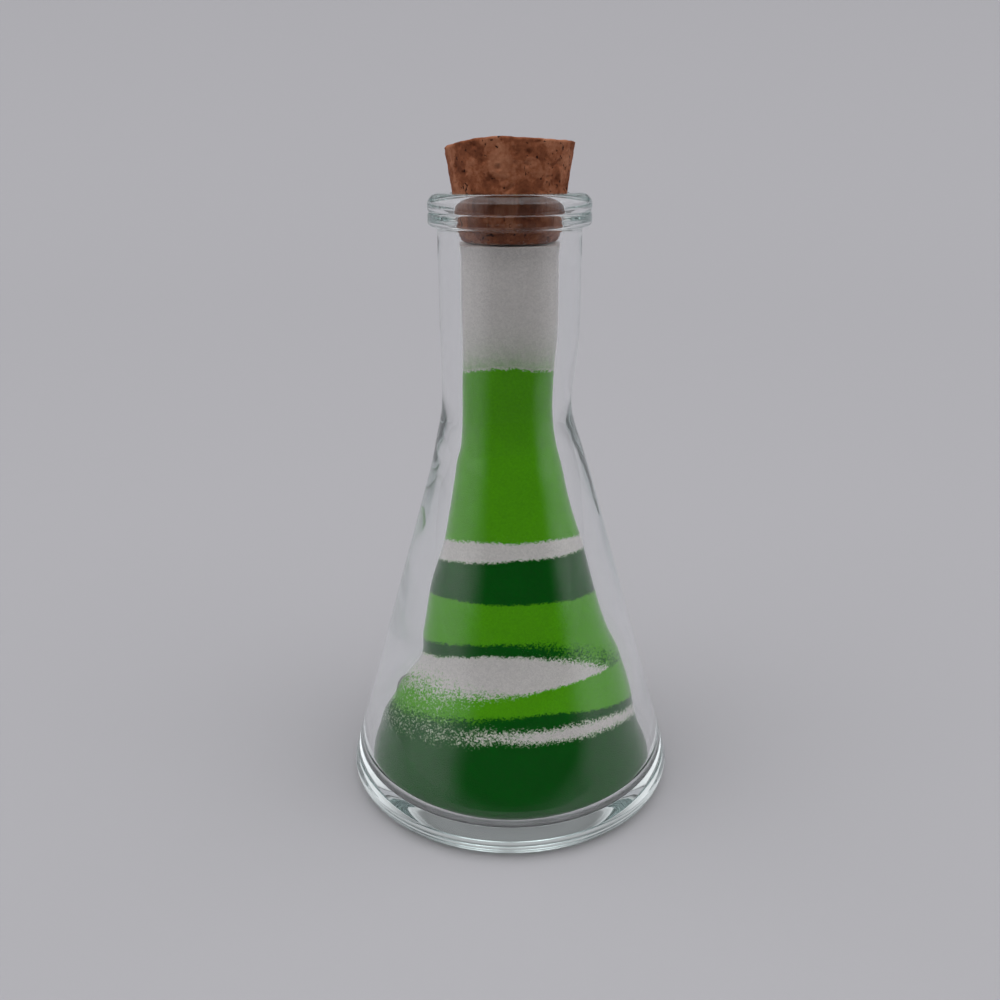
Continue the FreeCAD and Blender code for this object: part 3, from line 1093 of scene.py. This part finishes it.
@dataclass
class Cork:
    """The tapered stopper of pressed cork, with lumps, pits and a worn lower end.

    Lumps, pits and wear are noises with a size, and the three noise places keep
    them apart from each other. The cut is how the top falls away from its peak.
    """

    flask: Flask
    length: float = 16.4
    top_radius: float = 10.9
    bottom_radius: float = 8.53
    edge: float = 0.35
    worn_edge: float = 0.9
    relief: float = 0.16
    relief_middle: float = 0.5
    relief_reach: float = 0.6
    lump: float = 1.9
    small_lump: float = 0.8
    small_lump_share: float = 0.5
    pit: float = 0.45
    pit_size: float = 1.2
    pit_limit: float = 0.28
    pit_slope: float = 0.5
    wear: float = 0.5
    wear_size: float = 1.4
    wear_share: float = 0.2
    smooth_radius: float = 4.0
    cut_left: float = 0.0155
    cut_right: float = 0.053
    cut_peak: float = -1.0
    cut_relief: float = 0.12
    cut_size: float = 1.5
    pit_place: Point = (7.0, 3.0, 5.0)
    wear_place: Point = (0.0, 9.0, 0.0)
    cut_place: float = 4.0
    segments: int = 240
    bottom_steps: int = 24
    edge_steps: int = 6
    side_steps: int = 64
    top_steps: int = 28
    finish: CorkFinish = field(default_factory=CorkFinish)

    def __post_init__(self) -> None:
        """Work out the height of the lower end."""
        self.bottom_height = self.flask.top - self.flask.cork_depth

    def outline(self) -> list[OutlinePoint]:
        """Outline of the smooth cork.

        Returns:
            Points from the middle of the underside to the middle of the top.
        """
        low, high = self.bottom_height, self.bottom_height + self.length
        taper = (self.top_radius - self.bottom_radius) / self.length
        inset = self.relief
        edge_radius = self.bottom_radius - self.worn_edge
        edge_height = low + self.worn_edge
        points = span((0.0, low), (edge_radius, low), self.bottom_steps)
        points += arc((edge_radius - inset, edge_height), self.worn_edge, -90, 0, self.edge_steps)[1:]
        side = (self.bottom_radius + taper * self.worn_edge - inset, edge_height)
        points += span(side, (self.top_radius - inset, high - self.edge), self.side_steps)[1:]
        top = (self.top_radius - self.edge - inset, high - inset)
        return points + span(top, (0.0, high - inset), self.top_steps)

    def cut(self, across: float) -> float:
        """How far below its highest line the top was cut, at a place across the cork."""
        past = across - self.cut_peak
        return self.cut_right * past if past > 0 else self.cut_left * past * past

    def worn(self, x: float, y: float, z: float) -> Vector:
        """A point of the smooth cork, moved by its uneven cut, granules and pits.

        Args:
            x: place to the right, in millimetres.
            y: place to the back.
            z: height.

        Returns:
            The worn point.
        """
        share = max(0.0, (z - self.bottom_height) / self.length)
        place = Vector((x, y, z))
        lumps = noise.noise(place / self.lump) + self.small_lump_share * noise.noise(place / self.small_lump)
        inward = self.relief * (self.relief_middle - self.relief_reach * lumps)
        hole = noise.noise(place / self.pit_size + Vector(self.pit_place)) - self.pit_limit
        inward += self.pit * min(1.0, max(0.0, hole) / self.pit_slope)
        low = max(0.0, 1 - share / self.wear_share)
        inward += low * self.wear * (0.5 + noise.noise(place / self.wear_size + Vector(self.wear_place)))
        radius = math.hypot(x, y)
        scale = 1 - inward / radius if radius > self.smooth_radius else 1.0
        rough = self.cut_relief * noise.noise(Vector((x, y, self.cut_place)) / self.cut_size)
        drop = share ** 3 * (self.cut(x) + rough)
        return Vector((x * scale, y * scale, z - drop))

    def build(self) -> bpy.types.Object:
        """Turn the outline, wear it and dress it.

        Returns:
            The cork.
        """
        outline = self.outline()
        verts = [self.worn(radius * math.cos(turn), radius * math.sin(turn), height)
                 for radius, height in outline[1:-1] for turn in turns(self.segments)]
        verts += [self.worn(0.0, 0.0, height) for _, height in (outline[0], outline[-1])]
        cork = closed_stack("pressed_cork", verts, self.segments)
        cork.data.materials.append(self.finish.material(self.bottom_height))
        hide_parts("cork_stopper")
        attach(cork, Part.STOPPER.value)
        log.info("pressed_cork: %d faces", len(cork.data.polygons))
        return cork


# Studio


@dataclass(frozen=True)
class Tent:
    """How bright the white tent round the bottle is in each direction.

    Azimuths are degrees from the tent's open front, rising to the camera's right,
    and heights are sines of the elevation. Each row of levels is one band of
    height, from low to high, and each number in it is one panel of the tent, from
    the front round to the back. A level of 1 is white.
    """

    opening_left: Stretch = (-56.0, -33.0)
    opening_right: Stretch = (51.0, 69.0)
    right_slant: float = 34.0
    opening_level: float = 0.03
    panel_edges: tuple[float, ...] = (30.0, 60.0, 92.0, 133.0)
    panel_blend: float = 14.0
    band_edges: tuple[float, ...] = (0.25, 0.5, 0.7, 0.9)
    band_blend: float = 0.07
    levels: tuple[tuple[float, ...], ...] = (
        (0.7, 0.7, 0.7, 0.2, 0.1),
        (0.75, 0.75, 0.8, 0.9, 0.5),
        (1.2, 2.4, 2.4, 0.9, 0.25),
        (1.0, 1.1, 1.2, 0.9, 0.2),
        (1.5, 1.5, 1.5, 1.3, 0.8),
    )
    tint: Colour = (0.97, 0.975, 1.0)

    def build(self) -> None:
        """Make the world's shader."""
        world = bpy.data.worlds.new("tent")
        bpy.context.scene.world = world
        world.use_nodes = True
        wires = Wiring(world.node_tree)
        direction = wires.add("ShaderNodeSeparateXYZ")
        wires.feed(direction, 0, wires.add("ShaderNodeTexCoord").outputs["Generated"])
        across, depth, up = direction.outputs
        turn = wires.math("DEGREES", wires.math("ARCTAN2", across, wires.math("MULTIPLY", depth, -1.0)))
        level = self.panels(wires, wires.math("ABSOLUTE", turn), up)
        slanted = wires.math("ADD", turn, wires.math("MULTIPLY", up, self.right_slant))
        opening = wires.math("MULTIPLY", wires.ramp(turn, *self.opening_left, 0.0, 1.0),
                             wires.ramp(slanted, *self.opening_right, 1.0, 0.0))
        top = self.band_edges[1]
        opening = wires.math("MULTIPLY", opening,
                             wires.ramp(up, top - self.band_blend, top + self.band_blend, 1.0, 0.0))
        level = wires.between(opening, level, self.opening_level)
        light = wires.add("ShaderNodeBackground")
        wires.feed(light, "Color", (*self.tint, 1.0))
        wires.feed(light, "Strength", level)
        output = wires.add("ShaderNodeOutputWorld")
        wires.feed(output, "Surface", light.outputs[0])

    def panels(self, wires: Wiring, away: Socket, up: Socket) -> Socket:
        """Level of the tent's panels in a direction.

        Args:
            wires: the world's wiring.
            away: how many degrees from the front, to either side.
            up: sine of the elevation.

        Returns:
            The level's socket.
        """
        def step(value: Socket, edge: float, blend: float) -> Socket:
            """A soft step from 0 to 1 across an edge."""
            return wires.ramp(value, edge - blend, edge + blend, 0.0, 1.0)

        total = None
        for row, start in zip(self.levels, (None, *self.band_edges)):
            level = row[0]
            for edge, after in zip(self.panel_edges, row[1:]):
                level = wires.between(step(away, edge, self.panel_blend), level, after)
            total = level if start is None else wires.between(step(up, start, self.band_blend), total, level)
        return total


@dataclass
class Studio:
    """The pale sweep of paper, the soft lamp and the camera.

    Sizes are metres. The camera's picture is square, and its focal length and the
    column of the bottle's axis are pixels of that picture.
    """

    sweep_width: float = 4.0
    sweep_front: float = -1.2
    sweep_flat: float = 0.7
    sweep_back: float = 2.6
    sweep_rise: float = 0.55
    sweep_drop: float = 0.00005
    sweep_steps: int = 24
    lamp_place: Point = (0.0, -0.35, 0.5)
    lamp_aim: Point = (0.0, 0.0, 0.05)
    lamp_side: float = 0.3
    lamp_radiance: float = 1.0
    camera_distance: float = 0.16609
    camera_height: float = 0.11358
    camera_nearest: float = 0.01
    camera_pitch_deg: float = 19.34
    camera_roll_deg: float = -0.24
    focal_px: float = 960.0
    axis_column_px: float = 510.4
    frame_px: float = 1000.0
    sensor_mm: float = 36.0
    light_bounces: int = 40
    tent: Tent = field(default_factory=Tent)
    paper: PaperFinish = field(default_factory=PaperFinish)

    def build(self) -> None:
        """Set up everything round the bottle."""
        self.lay_sweep()
        self.tent.build()
        self.hang_lamp()
        self.place_camera()
        scene = bpy.context.scene
        scene.view_settings.view_transform = "Standard"
        scene.cycles.max_bounces = self.light_bounces
        scene.cycles.transmission_bounces = self.light_bounces
        scene.cycles.glossy_bounces = self.light_bounces

    def lay_sweep(self) -> None:
        """Lay a floor that rises gently into a backdrop far behind the bottle."""
        half = self.sweep_width / 2
        line = [(self.sweep_front, 0.0), (self.sweep_flat, 0.0)]
        for step in range(1, self.sweep_steps + 1):
            share = step / self.sweep_steps
            line.append((self.sweep_flat + (self.sweep_back - self.sweep_flat) * share,
                         self.sweep_rise * share * share))
        verts = [(x / MM, y / MM, (z - self.sweep_drop) / MM) for y, z in line for x in (-half, half)]
        faces = [(2 * i, 2 * i + 1, 2 * i + 3, 2 * i + 2) for i in range(len(line) - 1)]
        sweep = mesh_object("paper_sweep", verts, faces)
        sweep.data.materials.append(self.paper.material(self.tent.opening_left, self.tent.opening_right))

    def hang_lamp(self) -> None:
        """Hang a soft box in front, which faces the bottle. A radiance of 1 looks white."""
        lamp = bpy.data.lights.new("lamp_front", "AREA")
        lamp.shape = "RECTANGLE"
        lamp.size = lamp.size_y = self.lamp_side
        lamp.energy = self.lamp_radiance * math.pi * self.lamp_side * self.lamp_side
        holder = bpy.data.objects.new("lamp_front", lamp)
        bpy.context.scene.collection.objects.link(holder)
        holder.location = self.lamp_place
        aim = Vector(self.lamp_aim) - Vector(self.lamp_place)
        holder.rotation_euler = aim.to_track_quat("-Z", "Y").to_euler()

    def place_camera(self) -> None:
        """Look at the bottle as the photograph does."""
        camera = bpy.data.cameras.new("camera")
        camera.sensor_width = self.sensor_mm
        camera.lens = self.focal_px / self.frame_px * self.sensor_mm
        camera.clip_start = self.camera_nearest
        holder = bpy.data.objects.new("camera", camera)
        bpy.context.scene.collection.objects.link(holder)
        holder.location = (0.0, -self.camera_distance, self.camera_height)
        yaw = math.atan((self.axis_column_px - self.frame_px / 2) / self.focal_px)
        pitch = Matrix.Rotation(math.radians(90 - self.camera_pitch_deg), 3, "X")
        roll = Matrix.Rotation(math.radians(self.camera_roll_deg), 3, "Z")
        holder.rotation_euler = (Matrix.Rotation(yaw, 3, "Z") @ pitch @ roll).to_euler()
        bpy.context.scene.camera = holder


def main() -> None:
    """Build the bottle and the studio round it."""
    logging.basicConfig(level=logging.INFO, format="%(message)s")
    flask = Flask()
    flask.build()
    SandColumn(flask).build()
    Cork(flask).build()
    Studio().build()


if __name__ == "__main__":
    main()
